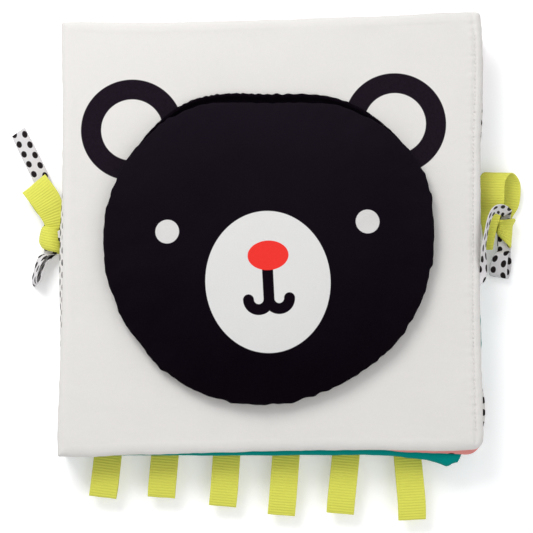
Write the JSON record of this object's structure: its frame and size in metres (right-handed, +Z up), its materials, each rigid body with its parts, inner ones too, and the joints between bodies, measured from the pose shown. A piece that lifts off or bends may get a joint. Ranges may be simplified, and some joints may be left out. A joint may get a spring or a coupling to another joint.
{
  "type": "cloth book",
  "caption": "Padded cloth book lying flat, with a stuffed bear head on its cover, folded ribbon tabs along its foot, a ribbon bow at each side and two hinged covers.",
  "frame": {"origin": "middle of the flat underside of the back cover, on the surface the book lies on", "axes": "+X from the spine to the fore edge, +Y up the page, +Z up through the leaves to the front cover"},
  "size_m": [0.2988, 0.2872, 0.0537],
  "materials": {
    "cover_cloth": "matt woven cotton",
    "page_cloth": "matt woven cotton",
    "black_cloth": "matt brushed cloth",
    "black_print": "matt print on cloth",
    "white_print": "matt print on cloth",
    "red_print": "matt print on cloth",
    "lime_ribbon": "ribbed ribbon",
    "dotted_ribbon": "printed satin ribbon"
  },
  "bodies": {
    "book_block": {"spine": "cover_cloth", "pages": "page_cloth", "ribbon_tab_1": "lime_ribbon", "ribbon_tab_2": "lime_ribbon", "ribbon_tab_3": "lime_ribbon", "ribbon_tab_4": "lime_ribbon", "ribbon_tab_5": "lime_ribbon", "ribbon_tab_6": "lime_ribbon", "left_lime_ribbon": "lime_ribbon", "left_dotted_ribbon": "dotted_ribbon"},
    "front": {"front_cover": "cover_cloth", "head_backing": "black_cloth", "head_pad": "black_cloth", "ear_rings": "black_print", "eyes": "white_print", "muzzle": "white_print", "nose": "red_print", "mouth": "black_print", "right_lime_ribbon": "lime_ribbon", "right_dotted_ribbon": "dotted_ribbon"},
    "back": {"back_cover": "cover_cloth"}
  },
  "joints": [
    {"name": "front_cover_hinge", "type": "hinge", "parent": "book_block", "child": "front", "pos_m": [-0.1213, 0, 0.0311], "axis": [0, -1, 0], "range_deg": [0, 180]},
    {"name": "back_cover_hinge", "type": "hinge", "parent": "book_block", "child": "back", "pos_m": [-0.1213, 0, 0], "axis": [0, 1, 0], "range_deg": [0, 180]}
  ]
}
